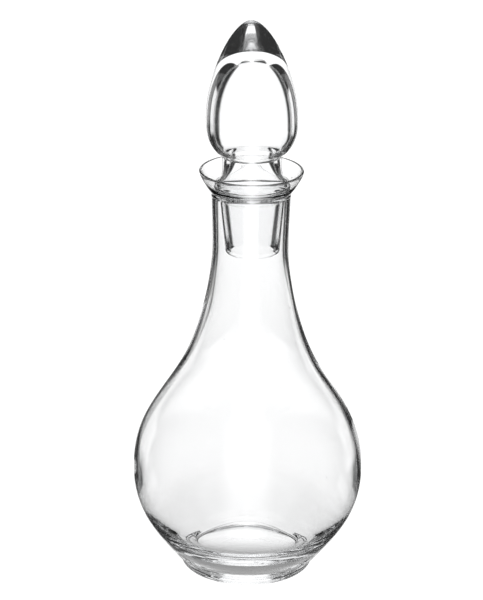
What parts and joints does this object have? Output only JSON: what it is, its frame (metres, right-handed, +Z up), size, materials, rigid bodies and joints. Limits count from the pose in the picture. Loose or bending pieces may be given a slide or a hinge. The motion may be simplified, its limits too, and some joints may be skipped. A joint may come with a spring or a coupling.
{
  "type": "wine decanter with stopper",
  "caption": "Round-bellied clear glass decanter with a flared pouring lip and a hollow, egg-shaped stopper that lifts out of the neck.",
  "frame": {"origin": "centre of the foot, on the surface the decanter stands on", "axes": "+Z up along the axis of revolution; X and Y level"},
  "size_m": [0.123, 0.123, 0.3011],
  "materials": {
    "decanter_glass": "clear polished blown glass",
    "stopper_glass": "clear polished blown glass"
  },
  "bodies": {
    "decanter": {"decanter": "decanter_glass"},
    "stopper": {"stopper": "stopper_glass"}
  },
  "joints": [
    {"name": "stopper_lift", "type": "slide", "parent": "decanter", "child": "stopper", "axis": [0, 0, 1], "range_m": [0, 0.07]}
  ]
}
